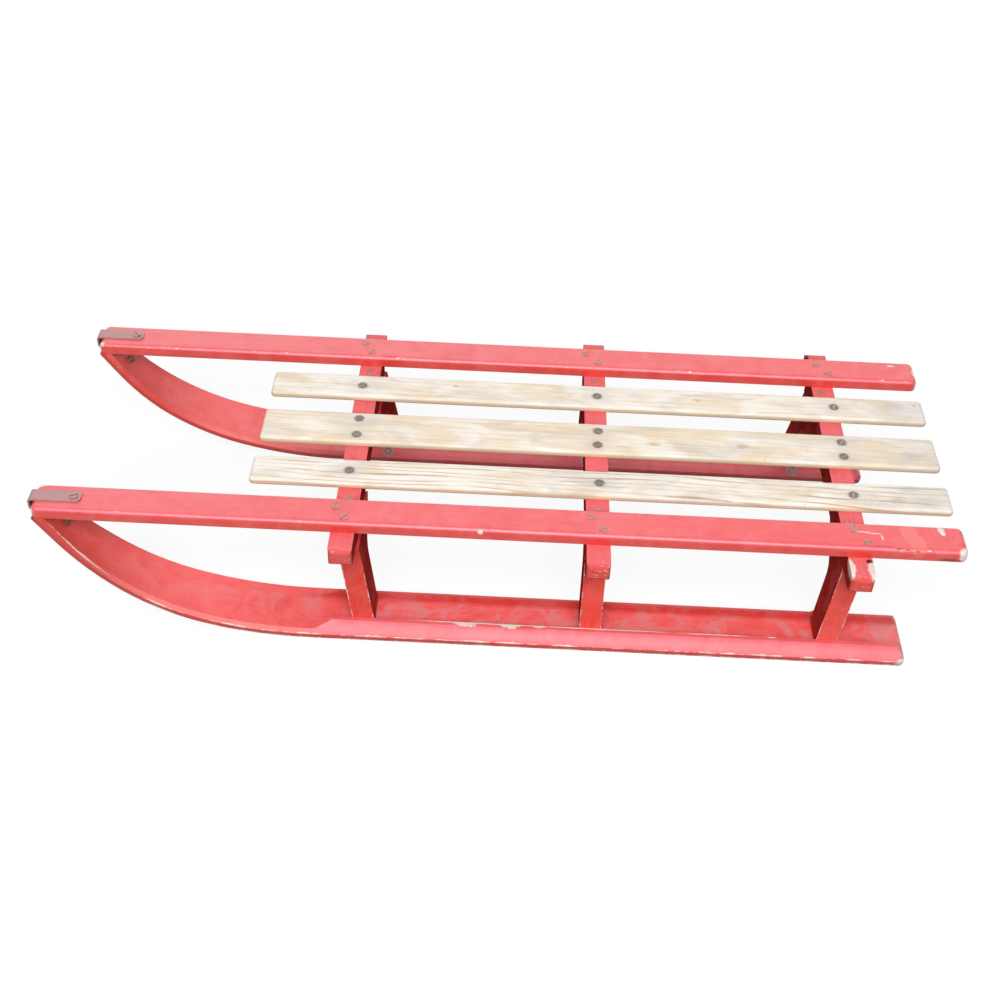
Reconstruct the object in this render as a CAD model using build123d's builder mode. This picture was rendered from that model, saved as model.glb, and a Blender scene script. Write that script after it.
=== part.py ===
"""Two-seat wooden sled: grooved bent-up runners, three bridges, side rails and seat slats.

Millimetres. +X is the sled's front, +Y its left side and +Z up, with the soles on Z = 0.
The origin is under the middle of the sled, halfway between its rear end and its strap fronts.
"""

import os
from math import cos, radians, sin, tan

from build123d import *

# Side rails, lying on the crosspieces
rail_length = 1082
rail_width = 45
rail_height = 15.5
rail_centre = 161.5
rail_top_round = 6
rail_foot_round = 1.5
rail_rear_corner = 8
rail_tip_corner = 7

# Steel straps bent round the front tips
strap_width = 18
strap_thickness = 2
strap_gap = 3.5
strap_bend = 2.5
strap_top_length = 56
strap_sole_length = 46
strap_end_round = 6

# Bridges: a crosspiece, deep between the legs and cut back to tongues beyond them, on two legs
bridge_rear_overhang = 123
front_bridge_inset = 44.5
middle_bridge_forward = 2.5
front_tongue_trim = 4
crosspiece_top = 155
crosspiece_depth = 33
crosspiece_width = 28
tongue_length = 43
tongue_height = 24
tongue_top_round = 8
tongue_foot_round = 4
tongue_corner = 5

# Legs: knees that spread under the crosspiece and stand in the runners' grooves
front_leg_lean_angle = 9
front_leg_setback = 4
rear_leg_lean_angle = 7.5
leg_thickness = 26
leg_top_outer = 174
leg_top_inner = 72
knee_inner = 134
knee_drop = 31
knee_round = 25
foot_clearance = 0.3

# Runners: ski-like boards with a groove between two lips
runner_width = 78
runner_centre = 168
runner_thickness = 11
runner_edge_bevel = 4.5
runner_rear_inset = 42
runner_rear_corner = 8
runner_tail_round = 6
runner_tip_width = 46
inner_taper_length = 85
outer_taper_length = 235
first_bend_radius = 500
first_bend_angle = 16
second_bend_radius = 300
second_bend_angle = 36
groove_width = 42
groove_depth = 9.5
lip_crest_round = 3
lip_front_inset = 6
lip_front_runout = 24
lip_rear_inset = 3
lip_rear_runout = 7

# Seat slats, lying on the crosspieces between the rails
slat_thickness = 10
slat_rear_inset = 1
slat_front_overhang = 121
outer_slat_width = 45
outer_slat_centre = 85
centre_slat_width = 58
slat_edge_round = 4
slat_corner = 5
slat_hole_diameter = 3.5
slat_hole_from_end = 11
slat_hole_from_edge = 11

# Heights and places along the sled that follow from the sizes above
rail_rear_x = -(rail_length + strap_gap + strap_thickness) / 2
tip_x = rail_rear_x + rail_length
rail_top_z = crosspiece_top + rail_height
leg_top_z = crosspiece_top - crosspiece_depth
lip_top_z = runner_thickness + groove_depth
runner_rear_x = rail_rear_x + runner_rear_inset

# The sole's curve, worked out back from the tip, where it meets the rail's underside
tip_angle = radians(first_bend_angle + second_bend_angle)
first_angle = radians(first_bend_angle)
first_bend_rise = first_bend_radius * (1 - cos(first_angle))
first_bend_run = first_bend_radius * sin(first_angle)
second_bend_rise = second_bend_radius * (cos(first_angle) - cos(tip_angle))
second_bend_run = second_bend_radius * (sin(tip_angle) - sin(first_angle))
straight_rise = crosspiece_top - first_bend_rise - second_bend_rise
straight_length = straight_rise / sin(tip_angle)
flat_end_x = tip_x - first_bend_run - second_bend_run - straight_rise / tan(tip_angle)

# Edges of the left runner, of its groove and of its lips
runner_outer_y = runner_centre + runner_width / 2
runner_inner_y = runner_centre - runner_width / 2
groove_outer_y = runner_centre + groove_width / 2
groove_inner_y = runner_centre - groove_width / 2
crest_inset = runner_edge_bevel + groove_depth
lip_front_x = flat_end_x - lip_front_inset
lip_rear_x = runner_rear_x + lip_rear_inset

os.makedirs("parts", exist_ok=True)


def save(part, label):
    """Labels a finished piece and writes it to its own STEP file."""
    part.label = label
    export_step(part, f"parts/{label}.step")


# Lips of the left runner: two ridges with sloped ends, bevelled outwards, one each side of the groove
with BuildPart() as runner_lips:
    with BuildSketch(Plane.XZ.offset(-runner_outer_y)):
        Polygon(
            (lip_rear_x, runner_thickness),
            (lip_front_x, runner_thickness),
            (lip_front_x - lip_front_runout, lip_top_z),
            (lip_rear_x + lip_rear_runout, lip_top_z),
            align=None,
        )
    extrude(amount=runner_width)
    with BuildSketch(Plane.YZ.offset(runner_rear_x)):
        Polygon(
            (groove_outer_y, runner_thickness),
            (runner_outer_y - runner_edge_bevel, runner_thickness),
            (runner_outer_y - crest_inset, lip_top_z),
            (groove_outer_y, lip_top_z),
            align=None,
        )
        Polygon(
            (groove_inner_y, runner_thickness),
            (runner_inner_y + runner_edge_bevel, runner_thickness),
            (runner_inner_y + crest_inset, lip_top_z),
            (groove_inner_y, lip_top_z),
            align=None,
        )
    extrude(amount=lip_front_x - runner_rear_x, mode=Mode.INTERSECT)
    crest_edges = runner_lips.edges().filter_by(Axis.X).group_by(Axis.Z)[-1].sort_by(Axis.Y)
    fillet([crest_edges[0], crest_edges[-1]], lip_crest_round)

# Runners: the bent board, narrowed towards its tip, with its upper edges bevelled into the lips
with BuildPart() as runner_left:
    with BuildSketch(Plane.XZ.offset(-runner_outer_y)):
        with BuildLine():
            sole = Line((runner_rear_x, 0), (flat_end_x, 0))
            first_bend = JernArc(sole @ 1, sole % 1, first_bend_radius, first_bend_angle)
            second_bend = JernArc(first_bend @ 1, first_bend % 1, second_bend_radius, second_bend_angle)
            Line(second_bend @ 1, second_bend @ 1 + (second_bend % 1) * straight_length)
            offset(amount=runner_thickness, side=Side.LEFT)
        make_face()
    extrude(amount=runner_width)
    split(bisect_by=Plane.XY.offset(crosspiece_top), keep=Keep.BOTTOM)
    tail_edges = runner_left.edges().filter_by(Axis.Y).group_by(Axis.X)[0]
    fillet(tail_edges.sort_by(Axis.Z)[0], runner_tail_round)
    with BuildSketch(Plane.XY) as board_plan:
        with BuildLine():
            outer = Line((tip_x - outer_taper_length, runner_outer_y), (runner_rear_x, runner_outer_y))
            rear = Line(outer @ 1, (runner_rear_x, runner_inner_y))
            inner = Line(rear @ 1, (tip_x - inner_taper_length, runner_inner_y))
            tip = Line(
                (tip_x, rail_centre - runner_tip_width / 2),
                (tip_x, rail_centre + runner_tip_width / 2),
            )
            TangentArc(inner @ 1, tip @ 0, tangent=(1, 0))
            TangentArc(outer @ 0, tip @ 1, tangent=(1, 0))
        make_face()
        fillet(board_plan.vertices().group_by(Axis.X)[0], runner_rear_corner)
    extrude(amount=crosspiece_top, mode=Mode.INTERSECT)
    tip_face = runner_left.faces().sort_by(Axis.Z)[-1]
    upper_faces = runner_left.faces().filter_by(lambda face: face.normal_at().Z > cos(radians(60)))
    bevel_edges = [
        edge for face in upper_faces if face != tip_face for edge in face.edges()
        if abs(edge.tangent_at(0.5).Y) < cos(radians(30))
    ]
    chamfer(bevel_edges, runner_edge_bevel)
    add(runner_lips.part)

with BuildPart() as runner_right:
    mirror(runner_left.part, about=Plane.XZ)

save(runner_left.part, "runner_left")
save(runner_right.part, "runner_right")

# Side rails: flat bars with rounded upper edges, rounded corners
with BuildPart() as rail_left:
    with BuildSketch(Plane.XY.offset(crosspiece_top)) as rail_plan:
        with Locations((rail_rear_x + rail_length / 2, rail_centre)):
            Rectangle(rail_length, rail_width)
        fillet(rail_plan.vertices().group_by(Axis.X)[0], rail_rear_corner)
        fillet(rail_plan.vertices().group_by(Axis.X)[-1], rail_tip_corner)
    extrude(amount=rail_height)
    fillet(rail_left.edges().group_by(Axis.Z)[-1], rail_top_round)
    fillet(rail_left.edges().group_by(Axis.Z)[0], rail_foot_round)

with BuildPart() as rail_right:
    mirror(rail_left.part, about=Plane.XZ)

save(rail_left.part, "rail_left")
save(rail_right.part, "rail_right")

# Straps: flat on the rail's top, bent down in front of the tip, and back along the runner's sole
strap_front_x = tip_x + strap_gap
strap_foot_x = tip_x - strap_sole_length * cos(tip_angle)
strap_foot_z = crosspiece_top - strap_sole_length * sin(tip_angle)

with BuildPart() as strap_left:
    with BuildSketch(Plane.XZ.offset(-rail_centre)):
        with BuildLine():
            FilletPolyline(
                (tip_x - strap_top_length, rail_top_z),
                (strap_front_x, rail_top_z),
                (strap_front_x, crosspiece_top + strap_gap * tan(tip_angle)),
                (strap_foot_x, strap_foot_z),
                radius=strap_bend,
            )
            offset(amount=strap_thickness, side=Side.LEFT)
        make_face()
    extrude(amount=strap_width / 2, both=True)
    end_edges = strap_left.edges().filter_by(GeomType.LINE).group_by(Edge.length)[0]
    fillet(end_edges, strap_end_round)

with BuildPart() as strap_right:
    mirror(strap_left.part, about=Plane.XZ)

save(strap_left.part, "strap_left")
save(strap_right.part, "strap_right")

# Bridges: each has its name, its place along the sled, what its left tongue is cut short by, and
# its legs' place behind it and lean, from top to foot
rear_bridge_x = rail_rear_x + bridge_rear_overhang
front_bridge_x = flat_end_x - front_bridge_inset
middle_bridge_x = (rear_bridge_x + front_bridge_x) / 2 + middle_bridge_forward
bridges = [
    ("rear", rear_bridge_x, 0, 0, rear_leg_lean_angle),
    ("middle", middle_bridge_x, 0, 0, 0),
    ("front", front_bridge_x, front_tongue_trim, front_leg_setback, -front_leg_lean_angle),
]
crosspiece_half = leg_top_outer + tongue_length
foot_outer_y = groove_outer_y - foot_clearance
foot_inner_y = groove_inner_y + foot_clearance
knee_z = leg_top_z - knee_drop

for bridge_name, bridge_x, trim, leg_setback, lean in bridges:
    crosspiece_length = 2 * crosspiece_half - trim
    with BuildPart() as crosspiece:
        with BuildSketch(Plane.YZ.offset(bridge_x - crosspiece_width / 2)) as crosspiece_side:
            with Locations((-trim / 2, crosspiece_top)):
                Rectangle(crosspiece_length, tongue_height, align=(Align.CENTER, Align.MAX))
            fillet(crosspiece_side.vertices().group_by(Axis.Y)[-1], tongue_top_round)
            fillet(crosspiece_side.vertices().group_by(Axis.Y)[0], tongue_foot_round)
            with Locations((0, crosspiece_top)):
                Rectangle(2 * leg_top_outer, crosspiece_depth, align=(Align.CENTER, Align.MAX))
        extrude(amount=crosspiece_width)
        with BuildSketch(Plane.XY.offset(leg_top_z)):
            with Locations((bridge_x, -trim / 2)):
                RectangleRounded(crosspiece_width, crosspiece_length, tongue_corner)
        extrude(amount=crosspiece_depth, mode=Mode.INTERSECT)
    save(crosspiece.part, f"crosspiece_{bridge_name}")

    leg_x = bridge_x - leg_setback
    foot_x = leg_x + (leg_top_z - runner_thickness) * tan(radians(lean))
    half_leg = leg_thickness / 2
    with BuildPart() as leg_left:
        with BuildSketch(Plane.XZ):
            Polygon(
                (foot_x - half_leg, runner_thickness),
                (foot_x + half_leg, runner_thickness),
                (leg_x + half_leg, leg_top_z),
                (leg_x - half_leg, leg_top_z),
                align=None,
            )
        extrude(amount=-runner_outer_y)
        with BuildSketch(Plane.YZ.offset(min(foot_x, leg_x) - half_leg)) as leg_front:
            Polygon(
                (foot_inner_y, runner_thickness),
                (foot_outer_y, runner_thickness),
                (leg_top_outer, leg_top_z),
                (leg_top_inner, leg_top_z),
                (knee_inner, knee_z),
                (foot_inner_y, lip_top_z),
                align=None,
            )
            knee = leg_front.vertices().sort_by_distance((knee_inner, knee_z))[0]
            fillet(knee, knee_round)
        extrude(amount=leg_thickness + abs(foot_x - leg_x), mode=Mode.INTERSECT)
    save(leg_left.part, f"leg_{bridge_name}_left")

    with BuildPart() as leg_right:
        mirror(leg_left.part, about=Plane.XZ)
    save(leg_right.part, f"leg_{bridge_name}_right")

# Seat slats: each has its name, its place across the sled and its width
slats = [
    ("left", outer_slat_centre, outer_slat_width),
    ("centre", 0, centre_slat_width),
    ("right", -outer_slat_centre, outer_slat_width),
]
slat_rear_x = rail_rear_x + slat_rear_inset
slat_length = front_bridge_x + slat_front_overhang - slat_rear_x

for slat_name, slat_y, slat_width in slats:
    with BuildPart() as slat:
        with BuildSketch(Plane.XY.offset(crosspiece_top)):
            with Locations((slat_rear_x + slat_length / 2, slat_y)):
                RectangleRounded(slat_length, slat_width, slat_corner)
        extrude(amount=slat_thickness)
        fillet(slat.edges().group_by(Axis.Z)[-1], slat_edge_round)
        fillet(slat.edges().group_by(Axis.Z)[0], slat_edge_round)
        if slat_name == "right":
            hole_y = slat_y - slat_width / 2 + slat_hole_from_edge
            with Locations((slat_rear_x + slat_hole_from_end, hole_y, crosspiece_top)):
                Hole(slat_hole_diameter / 2)
    save(slat.part, f"slat_{slat_name}")
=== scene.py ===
# %% [markdown]
# This lesson dresses a two-seat wooden sled whose solids come ready made from CAD. The solids keep
# their shape. What is added here is what a maker would add last: screws and bolts, paint, bare wood,
# steel, and the wear of many winters. Everything is in metres, with the sled's front along +X, its
# left side along +Y, and its soles on Z = 0. Places of knocks, screws and bolts are in millimetres,
# which are easier to read there, and are turned to metres where they are used.

# %% Load the sled
from math import cos, pi, radians, sin, sqrt

import bmesh
import bpy
from mathutils import Matrix, Vector


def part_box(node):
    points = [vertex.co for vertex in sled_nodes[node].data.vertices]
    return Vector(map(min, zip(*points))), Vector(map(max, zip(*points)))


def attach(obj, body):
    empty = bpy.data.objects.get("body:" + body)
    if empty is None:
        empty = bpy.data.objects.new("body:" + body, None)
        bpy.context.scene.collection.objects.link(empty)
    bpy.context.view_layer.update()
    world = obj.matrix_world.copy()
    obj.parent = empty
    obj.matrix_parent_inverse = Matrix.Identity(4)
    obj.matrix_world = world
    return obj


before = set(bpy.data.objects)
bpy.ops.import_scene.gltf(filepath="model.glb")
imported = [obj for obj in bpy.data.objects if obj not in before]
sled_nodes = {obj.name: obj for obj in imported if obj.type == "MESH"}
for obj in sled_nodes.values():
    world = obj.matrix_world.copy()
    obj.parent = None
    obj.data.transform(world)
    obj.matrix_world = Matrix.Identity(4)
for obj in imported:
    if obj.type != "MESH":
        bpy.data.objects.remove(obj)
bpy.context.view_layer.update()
print("CAD pieces:", len(sled_nodes))

# %% [markdown]
# The camera stands high over the sled's left side, level with its middle. A camera can be aimed with
# a constraint, but here its place and its three directions were solved from the photograph, so they
# are set straight into its matrix. The lens comes out at 50.7 mm on a 36 mm sensor.

# %% Camera
camera_right = Vector((-0.99884, -0.03721, 0.03062))
camera_down = Vector((-0.04763, 0.66554, -0.74484))
camera_forward = Vector((0.00733, -0.74544, -0.66654))
camera_place = Vector((-0.01138, 1.35499, 1.26883))
focal_pixels = 1400
image_width = 994
sensor_width = 36

camera_data = bpy.data.cameras.new("studio_camera")
camera_data.sensor_fit = "HORIZONTAL"
camera_data.sensor_width = sensor_width
camera_data.lens = focal_pixels / image_width * sensor_width
camera = bpy.data.objects.new("studio_camera", camera_data)
camera_turn = Matrix((camera_right, -camera_down, -camera_forward)).transposed().to_4x4()
camera.matrix_world = Matrix.Translation(camera_place) @ camera_turn
bpy.context.scene.collection.objects.link(camera)
bpy.context.scene.camera = camera
print("camera at", tuple(round(c, 3) for c in camera.location))

# %% [markdown]
# Colours are written as sRGB hex values, the way a picker shows them, but shaders work in linear
# light. One function turns the first into the second, and one adds a node with its settings, values
# and links, so that each material below reads as a list of nodes.

# %% Colour and node helpers
def colour(code):
    """Turns an sRGB hex code into a linear RGBA colour."""
    parts = [int(code[i:i + 2], 16) / 255 for i in (0, 2, 4)]
    linear = [c / 12.92 if c <= 0.04045 else ((c + 0.055) / 1.055) ** 2.4 for c in parts]
    return (*linear, 1.0)


def node(tree, kind, into=None, **settings):
    """Adds one node: settings are its properties, and into gives its inputs values or links."""
    made = tree.nodes.new("ShaderNode" + kind)
    for name, value in settings.items():
        setattr(made, name, value)
    for socket, value in (into or {}).items():
        if isinstance(value, bpy.types.NodeSocket):
            tree.links.new(value, made.inputs[socket])
        else:
            made.inputs[socket].default_value = value
    return made


def empty_material(name):
    """Makes a material with a bare Principled shader, and returns it, its tree and that shader."""
    material = bpy.data.materials.new(name)
    material.use_nodes = True
    tree = material.node_tree
    shader = tree.nodes["Principled BSDF"]
    return material, tree, shader


# %% [markdown]
# The stage is a plain pale floor that takes the sled's faint shadow. A floor could be lit until it is
# white, but then the sled would be too bright. So Light Path makes it white only for the rays that
# look at it, a little less so close to the sled, where the photograph has a pale grey.

# %% Floor
def white_to_viewers(tree):
    """Gives 1 for the rays that should see a white studio: camera, glossy and transmission rays."""
    path = node(tree, "LightPath")
    seen = node(tree, "Math", {0: path.outputs["Is Camera Ray"], 1: path.outputs["Is Glossy Ray"]},
                operation="MAXIMUM")
    seen = node(tree, "Math", {0: seen.outputs[0], 1: path.outputs["Is Transmission Ray"]},
                operation="MAXIMUM")
    return seen.outputs[0]


floor_half_size = 12
floor_mesh = bpy.data.meshes.new("studio_floor")
floor_shape = bmesh.new()
bmesh.ops.create_grid(floor_shape, x_segments=1, y_segments=1, size=floor_half_size)
floor_shape.to_mesh(floor_mesh)
floor_shape.free()
floor = bpy.data.objects.new("studio_floor", floor_mesh)
bpy.context.scene.collection.objects.link(floor)

grey_ends, white_starts = 1.2, 3.0
floor_paint, tree, shader = empty_material("matt_studio_floor")
tree.nodes.remove(shader)
plain = node(tree, "BsdfDiffuse", {"Color": colour("585858")})
lit = node(tree, "BsdfDiffuse", {"Color": colour("616161")})
from_sled = node(tree, "TexCoord").outputs["Object"]
from_sled = node(tree, "VectorMath", {0: from_sled}, operation="LENGTH").outputs["Value"]
brightness = node(tree, "MapRange", {0: from_sled, 1: grey_ends, 2: white_starts, 3: 0.9, 4: 1.0})
glow = node(tree, "Emission", {"Color": colour("FFFFFF"), "Strength": brightness.outputs[0]})
both = node(tree, "AddShader", {0: lit.outputs[0], 1: glow.outputs[0]})
surface = node(tree, "MixShader", {0: white_to_viewers(tree), 1: plain.outputs[0], 2: both.outputs[0]})
tree.links.new(surface.outputs[0], tree.nodes["Material Output"].inputs["Surface"])
floor_mesh.materials.append(floor_paint)
print("floor is", 2 * floor_half_size, "m wide")

# %% [markdown]
# Two softboxes light the sled. A large one hangs behind and above the camera and puts the pale sheen
# on the rounded edges. A wider, weaker one hangs over the far side. The world shows white, but gives
# only a little light, to fill the shade.

# %% World and lights
fill_strength = 0.09
world = bpy.data.worlds.new("white_studio")
bpy.context.scene.world = world
world.use_nodes = True
tree = world.node_tree
strength = node(tree, "MapRange", {0: white_to_viewers(tree), 3: fill_strength, 4: 1.0})
tree.links.new(strength.outputs[0], tree.nodes["Background"].inputs["Strength"])
tree.nodes["Background"].inputs["Color"].default_value = colour("FFFFFF")
sled_middle = Vector((0, 0, 0.1))


def softbox(name, place, size, power):
    """Hangs a rectangular area light at a place, turned towards the sled's middle."""
    data = bpy.data.lights.new(name, "AREA")
    data.shape = "RECTANGLE"
    data.size, data.size_y = size
    data.energy = power
    lamp = bpy.data.objects.new(name, data)
    direction = sled_middle - Vector(place)
    turn = direction.to_track_quat("-Z", "Y").to_matrix().to_4x4()
    lamp.matrix_world = Matrix.Translation(place) @ turn
    bpy.context.scene.collection.objects.link(lamp)


softbox("key_softbox", place=(0, 3.4, 3.6), size=(4.0, 3.0), power=270)
softbox("back_softbox", place=(0, -3.0, 3.2), size=(5.5, 4.4), power=78)
bpy.context.scene.view_settings.view_transform = "Standard"

# %% [markdown]
# Where paint was knocked off, the pale wood below shows in patches with torn outlines. They could be
# painted on a texture map, but the solids have none. So a knock is an ellipsoid, a place and three
# half sizes, and a noise makes its outline ragged. Finer chips are the peaks of a noise.

# %% Ragged patches and flecks
def ragged_place(tree, place, amount, grain):
    """Shifts a place by a noise of a given size in metres, so that what is drawn there looks torn."""
    noise = node(tree, "TexNoise", {"Vector": place, "Scale": 1 / grain, "Detail": 3.0, "Roughness": 0.6})
    centred = node(tree, "VectorMath", {0: noise.outputs["Color"], 1: (0.5, 0.5, 0.5)},
                   operation="SUBTRACT")
    shifted = node(tree, "VectorMath", {0: centred.outputs[0], 1: (amount,) * 3, 2: place},
                   operation="MULTIPLY_ADD")
    return shifted.outputs[0]


def patches(tree, place, knocks, soft, most=1.0):
    """Gives most inside any of the ellipsoids, each a centre and half sizes in millimetres."""
    nearest = None
    for centre, half in knocks:
        scale = [1000 / h for h in half]
        shift = [-c / h for c, h in zip(centre, half)]
        local = node(tree, "VectorMath", {0: place, 1: scale, 2: shift}, operation="MULTIPLY_ADD")
        distance = node(tree, "VectorMath", {0: local.outputs[0]}, operation="LENGTH").outputs["Value"]
        if nearest is not None:
            distance = node(tree, "Math", {0: nearest, 1: distance}, operation="MINIMUM").outputs[0]
        nearest = distance
    inside = node(tree, "MapRange", {0: nearest, 1: 1 + soft, 2: 1 - soft, 3: 0.0, 4: most},
                  interpolation_type="SMOOTHSTEP")
    return inside.outputs[0]


def flecks(tree, place, size, share, most=1.0):
    """Gives small sharp flecks of a size in metres, more of them where the share is larger."""
    noise = node(tree, "TexNoise", {"Vector": place, "Scale": 1 / size, "Detail": 2.0, "Roughness": 0.5})
    limit = 0.78 - share
    return node(tree, "MapRange", {0: noise.outputs[0], 1: limit, 2: limit + 0.03, 4: most}).outputs[0]


# %% [markdown]
# Most of the sled is brushed with red oil enamel, whose red also carries painted light that follows the
# shape. Tops are paler, partly sun fading and partly a painted sheen, faces to the front and rear are
# darkened as painted shade, and roundings are pinker as a painted highlight. Over all of it lie clouds a
# few centimetres wide. The way that a face points gives the first three, so one list of tints suits
# every painted piece.

# %% Ageing of the enamel, and its painted light
def aged_reds_and_painted_light(tree, place, rubbed, cloudy, sunned_and_sheen_red, painted_highlight_pink):
    """Lists the tints of old enamel and of painted light, each a share and a colour, to be laid over its
    own red.
    """
    facing = node(tree, "SeparateXYZ", {0: node(tree, "TexCoord").outputs["Normal"]})
    endways = node(tree, "Math", {0: facing.outputs["X"]}, operation="ABSOLUTE").outputs[0]
    sideways = node(tree, "Math", {0: facing.outputs["Y"]}, operation="ABSOLUTE").outputs[0]
    # Painted sheen: upward faces get a paler red, partly sun fading and partly a painted sheen.
    sun_fade_and_sheen = node(tree, "MapRange", {0: facing.outputs["Z"], 1: 0.7, 2: 1.0},
                  interpolation_type="SMOOTHSTEP").outputs[0]
    # Painted shade: faces to the front and rear are darkened towards AF362F.
    painted_end_shade = node(tree, "MapRange", {0: endways, 1: 0.72, 2: 0.98},
                     interpolation_type="SMOOTHSTEP").outputs[0]
    # Painted highlight: roundings between top and side get a pinker red; the rubbed argument sets how
    # strong this painted highlight is.
    off_top = node(tree, "MapRange", {0: sideways, 1: 0.15, 2: 0.5, 4: 0.8},
                   interpolation_type="SMOOTHSTEP").outputs[0]
    off_side = node(tree, "MapRange", {0: sideways, 1: 0.8, 2: 0.98, 3: 1.0, 4: 0.0},
                    interpolation_type="SMOOTHSTEP").outputs[0]
    painted_highlight = node(tree, "Math", {0: off_top, 1: off_side}, operation="MULTIPLY").outputs[0]
    painted_highlight = node(tree, "Math", {0: painted_highlight, 1: rubbed}, operation="MULTIPLY").outputs[0]
    cloud_size = 0.045
    clouds = node(tree, "TexNoise", {"Vector": place, "Scale": 1 / cloud_size, "Detail": 5.0,
                                     "Roughness": 0.6, "Distortion": 1.5}).outputs[0]
    pale = node(tree, "MapRange", {0: clouds, 1: 0.45, 2: 0.62, 4: cloudy},
                interpolation_type="SMOOTHSTEP").outputs[0]
    deep = node(tree, "MapRange", {0: clouds, 1: 0.48, 2: 0.25, 4: 0.35},
                interpolation_type="SMOOTHSTEP").outputs[0]
    return [(sun_fade_and_sheen, sunned_and_sheen_red), (painted_end_shade, colour("AF362F")), (painted_highlight, painted_highlight_pink),
            (pale, colour("E88082")), (deep, colour("CC2E2B"))]


# %% [markdown]
# The paint itself is one function, because runners, rails, crosspieces and legs share it. Satin oil
# enamel is a dielectric with an IOR near 1.5, smooth enough to show a broad sheen. Brush strokes run
# along the wood, some dark and some chalky, and give a slight bump. The bare wood below is rough and
# pale. Strokes and grain are drawn two or three millimetres wide, coarser than real ones, so that they
# show. Each tint is laid over the last, as coats of paint and dirt are.

# %% Red oil enamel
def red_enamel(tree, shader, place, along, bare, dirt_and_shade=None, fresh=None, rubbed=1.0, gloss=0.5,
               cloudy=0.2, shade=colour("E6463E"), sunned_and_sheen_red=colour("E9575A"), painted_highlight_pink=colour("E96275")):
    """Links red enamel over wood, with the grain along an axis, and returns its bumped normal."""
    stroke_width, grain_width = 0.003, 0.002
    lengthways = [0.06 if axis == along else 1.0 for axis in "XYZ"]
    stretched = node(tree, "VectorMath", {0: place, 1: lengthways}, operation="MULTIPLY").outputs[0]
    strokes = node(tree, "TexNoise", {"Vector": stretched, "Scale": 1 / stroke_width, "Detail": 5.0,
                                      "Roughness": 0.65}).outputs[0]
    dark = node(tree, "MapRange", {0: strokes, 1: 0.5, 2: 0.3, 4: 0.22}).outputs[0]
    chalky = node(tree, "MapRange", {0: strokes, 1: 0.62, 2: 0.8, 4: 0.4},
                  interpolation_type="SMOOTHSTEP").outputs[0]
    grain = node(tree, "TexNoise", {"Vector": stretched, "Scale": 1 / grain_width, "Detail": 4.0})
    wood = node(tree, "Mix", {0: grain.outputs[0], 6: colour("FAF1E4"), 7: colour("D6C9BA")},
                data_type="RGBA").outputs[2]

    coats = aged_reds_and_painted_light(tree, place, rubbed, cloudy, sunned_and_sheen_red, painted_highlight_pink)
    coats += [(dark, colour("B52A28")), (chalky, colour("F0A5A3"))]
    if fresh is not None:
        coats.append((fresh, colour("EE6F66")))
    coats.append((bare, wood))
    # The dark colour 6A2A25 carries real dirt, and on the runners also painted shade.
    if dirt_and_shade is not None:
        coats.append((dirt_and_shade, colour("6A2A25")))
    skin = shade
    for share, tint in coats:
        skin = node(tree, "Mix", {0: share, 6: skin, 7: tint}, data_type="RGBA").outputs[2]

    worn = node(tree, "Math", {0: bare, 1: chalky}, operation="MAXIMUM").outputs[0]
    rough = node(tree, "MapRange", {0: worn, 3: 0.36, 4: 0.7}).outputs[0]
    depth = node(tree, "Math", {0: bare, 1: -0.25, 2: strokes}, operation="MULTIPLY_ADD").outputs[0]
    bump = node(tree, "Bump", {"Height": depth, "Strength": 0.3, "Distance": 0.0005}).outputs[0]
    tree.links.new(skin, shader.inputs["Base Color"])
    tree.links.new(rough, shader.inputs["Roughness"])
    tree.links.new(bump, shader.inputs["Normal"])
    shader.inputs["IOR"].default_value = 1.5
    shader.inputs["Specular IOR Level"].default_value = gloss
    return bump


# %% [markdown]
# Knocks on the rails were read off the photograph: the bared rear corner of the left rail, its white
# chip, a scratch, a band of fresher paint and dark scrapes along its edge. Those on the right rail
# are fewer, as less of it shows.

# %% Knocks on the rails
rail_knocks = [
    ((-540, 181, 165), (8, 6, 9)), ((-544, 170, 164), (2.5, 12, 8)), ((-517, 147, 170), (4, 4, 6)),
    ((-518.5, 152, 170), (2.5, 5, 4)), ((18, 184, 167), (3.2, 2.4, 3)), ((534, 142, 169), (6, 4, 5)),
    ((-424, 155.8, 171), (10, 0.8, 3)), ((-438, 158, 171), (8, 0.8, 3)), ((-446, 164, 171), (0.8, 5, 3)),
    ((537, 183, 166), (2, 3, 5)), ((-514, -173, 170), (6, 1.5, 3)), ((-541, -160, 168), (3, 9, 3)),
    ((-541, -180, 166), (3, 5, 5)), ((537, -181, 166), (2, 4, 5)), ((535, -142, 169), (4, 3, 4)),
]
rail_scrapes = [
    ((-444, 179, 169), (10, 0.7, 3)), ((-464, 181, 168.5), (5, 0.9, 3)),
    ((-473, 182, 168.5), (3, 1.0, 3)), ((-484, 182.6, 168), (3, 0.8, 3)),
    ((-503, 182.5, 167), (1.5, 1.0, 3)), ((-522, 184, 158.5), (12, 2, 2)),
]
rail_repaint = [((-479, 152, 168), (10, 18, 14)), ((-486, 172, 168), (10, 16, 14))]
print("rail knocks:", len(rail_knocks), "scrapes:", len(rail_scrapes))

# %% [markdown]
# The upper arrises of a rail are also chipped all along. An arris is where the distance from the side
# and the distance from the top are both small, so the larger of the two finds it. The red of the rails'
# tops is paler towards the front, a painted sheen, and a thin coat gives them more sheen than the legs
# have.

# %% Painted rails
rail_low, rail_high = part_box("rail_left")
rail_centre = (rail_low.y + rail_high.y) / 2
rail_half = (rail_high.y - rail_low.y) / 2

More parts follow.
